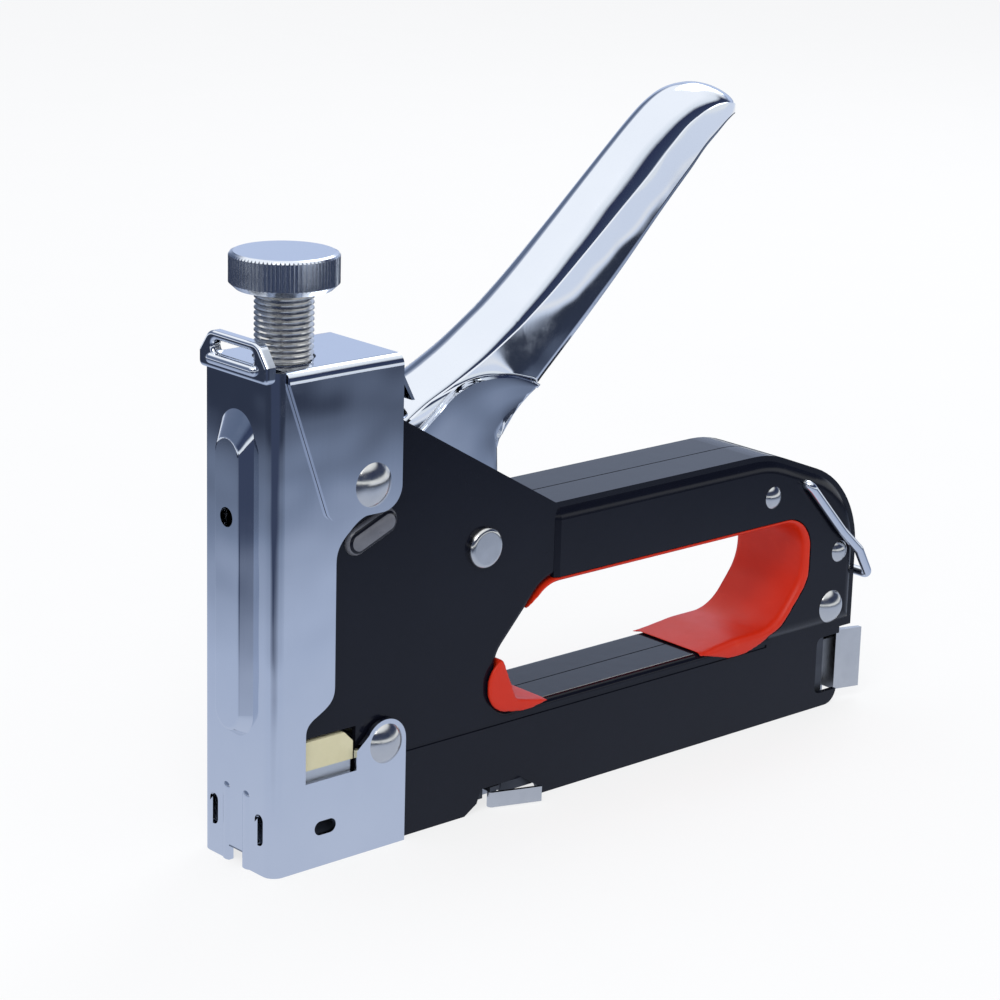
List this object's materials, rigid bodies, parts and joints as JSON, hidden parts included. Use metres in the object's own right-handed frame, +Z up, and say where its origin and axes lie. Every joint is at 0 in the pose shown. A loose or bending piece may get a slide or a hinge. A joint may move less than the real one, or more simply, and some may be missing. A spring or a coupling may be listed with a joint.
{
  "type": "staple gun",
  "caption": "Hand-squeezed staple gun: black pressed steel body with a finger hole, chrome nose and lever, tension knob, sliding staple drawer",
  "frame": {"origin": "middle of the bounding box at the base: half way along the tool's length and width, on the flat bottom", "axes": "+X runs from the nose to the rear end, +Y to the tool's right when it points away from the user, +Z up towards the tension knob"},
  "size_m": [0.1604, 0.0262, 0.134],
  "materials": {
    "body_paint": "glossy blue-black paint on pressed steel",
    "chrome": "bright chrome plate, slightly wavy",
    "nickel": "nickel plate with a soft sheen",
    "liner": "smooth red moulded plastic",
    "buffer": "cream moulded plastic buffer",
    "steel": "plain zinc-plated steel",
    "dark_steel": "dark oiled steel",
    "spring_steel": "drawn spring wire"
  },
  "bodies": {
    "housing": {"shell_left": "body_paint", "shell_right": "body_paint", "nose_cover": "chrome", "top_cap": "chrome", "cap_nut": "steel", "cap_rivet": "nickel", "nose_rivet": "nickel", "rear_rivet": "nickel", "grip_rivets": "nickel", "grip_spacers": "steel", "rear_spacer": "steel", "lever_pivot_pin": "nickel", "pivot_spacers": "steel", "grip_liner": "liner", "bumper_block": "buffer", "bumper_bracket": "steel", "magazine_channel": "dark_steel", "catch_pins": "dark_steel", "drive_spring": "spring_steel"},
    "squeeze_lever": {"lever": "chrome", "lifter": "steel", "lifter_pin": "steel"},
    "striker": {"plunger": "steel", "driver_blade": "steel"},
    "seat": {"spring_seat": "steel"},
    "tension": {"tension_screw": "nickel", "tension_knob": "nickel"},
    "drawer": {"magazine_rail": "steel", "tail_clip": "nickel", "pusher_rod": "steel", "pusher_spring": "spring_steel"},
    "pusher": {"staple_pusher": "steel"},
    "bail": {"lock_bail": "chrome"},
    "catch_left": {"catch_tab_left": "nickel"},
    "catch_right": {"catch_tab_right": "nickel"}
  },
  "joints": [
    {"name": "lever_squeeze", "type": "hinge", "parent": "housing", "child": "squeeze_lever", "pos_m": [-0.02755, 0, 0.053], "axis": [0, 1, 0], "range_deg": [0, 38], "stiffness_Nm_per_rad": 3, "springref_deg": -41.83},
    {"name": "plunger_lift", "type": "slide", "parent": "housing", "child": "striker", "axis": [0, 0, 1], "range_m": [0, 0.01825], "deforming": ["drive_spring"]},
    {"name": "seat_feed", "type": "slide", "parent": "housing", "child": "seat", "axis": [0, 0, -1], "range_m": [0, 0.007], "deforming": ["drive_spring"]},
    {"name": "knob_turn", "type": "hinge", "parent": "seat", "child": "tension", "pos_m": [-0.06765, 0, 0.1055], "axis": [0, 0, -1], "range_deg": [0, 2521]},
    {"name": "drawer_pull", "type": "slide", "parent": "housing", "child": "drawer", "axis": [1, 0, 0], "range_m": [0, 0.095]},
    {"name": "pusher_travel", "type": "slide", "parent": "drawer", "child": "pusher", "axis": [1, 0, 0], "range_m": [0, 0.1], "stiffness_N_per_m": 20, "springref_m": -0.1, "deforming": ["pusher_spring"]},
    {"name": "bail_swing", "type": "hinge", "parent": "housing", "child": "bail", "pos_m": [0.05955, 0, 0.0506], "axis": [0, -1, 0], "range_deg": [0, 112]},
    {"name": "left_tab_press", "type": "hinge", "parent": "housing", "child": "catch_left", "pos_m": [-0.02325, -0.0083, 0.0017], "axis": [0, 0, 1], "range_deg": [0, 4], "stiffness_Nm_per_rad": 0.005, "springref_deg": -5.73},
    {"name": "right_tab_press", "type": "hinge", "parent": "housing", "child": "catch_right", "pos_m": [-0.02325, 0.0083, 0.0017], "axis": [0, 0, -1], "range_deg": [0, 4], "stiffness_Nm_per_rad": 0.005, "springref_deg": -5.73}
  ],
  "couplings": [
    {"joint": "plunger_lift", "follows": "lever_squeeze", "m_per_rad": 0.02749},
    {"joint": "knob_turn", "follows": "seat_feed", "rad_per_m": 6283.2}
  ]
}
